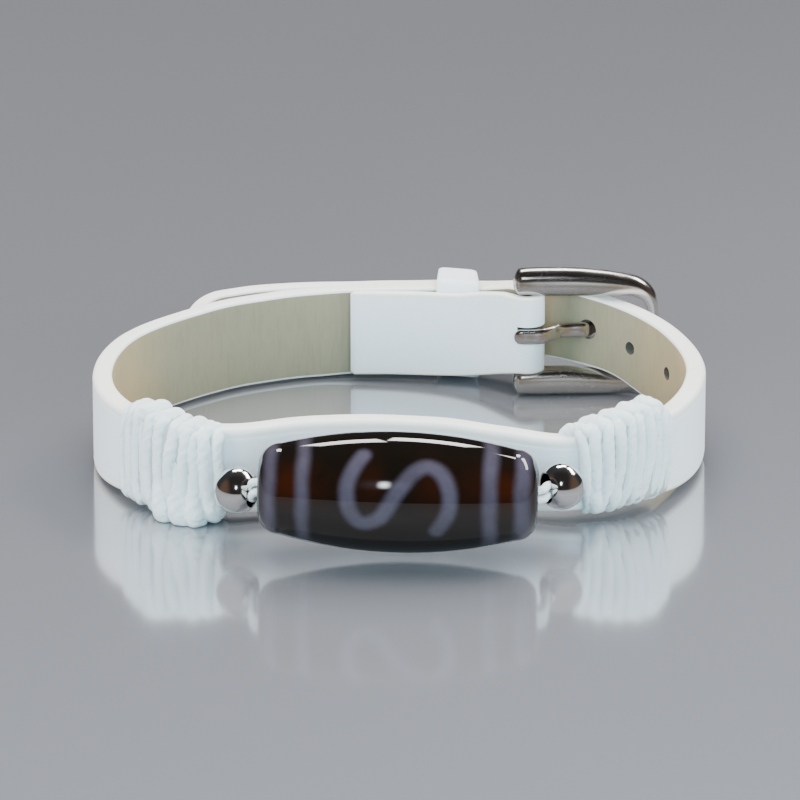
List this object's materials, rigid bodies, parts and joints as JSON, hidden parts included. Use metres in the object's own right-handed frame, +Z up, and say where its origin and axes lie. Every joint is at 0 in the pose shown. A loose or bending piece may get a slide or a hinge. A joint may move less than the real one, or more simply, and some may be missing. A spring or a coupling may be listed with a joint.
{
  "type": "leather bracelet",
  "caption": "Fastened white leather strap bracelet with a steel buckle, white cord wraps and a dark banded barrel bead between silver balls, resting on its edge.",
  "frame": {"origin": "middle of the footprint, on the floor that the bracelet rests on", "axes": "+Z up, across the strap; -Y is the side with the bead, +Y the side with the keeper; the buckle is at +X"},
  "size_m": [0.0616, 0.0622, 0.0137],
  "materials": {
    "leather": "smooth white face, painted edge, beige lining",
    "steel": "polished",
    "cord": "twisted white cord",
    "agate": "polished banded stone"
  },
  "bodies": {
    "root": {"strap": "leather", "strap_keeper": "leather", "buckle_frame": "steel", "buckle_prong": "steel", "cord_wrap_left": "cord", "cord_wrap_right": "cord", "dzi_bead": "agate", "silver_ball_left": "steel", "silver_ball_right": "steel", "bead_cord_upper": "cord", "bead_cord_lower": "cord"}
  },
  "joints": []
}
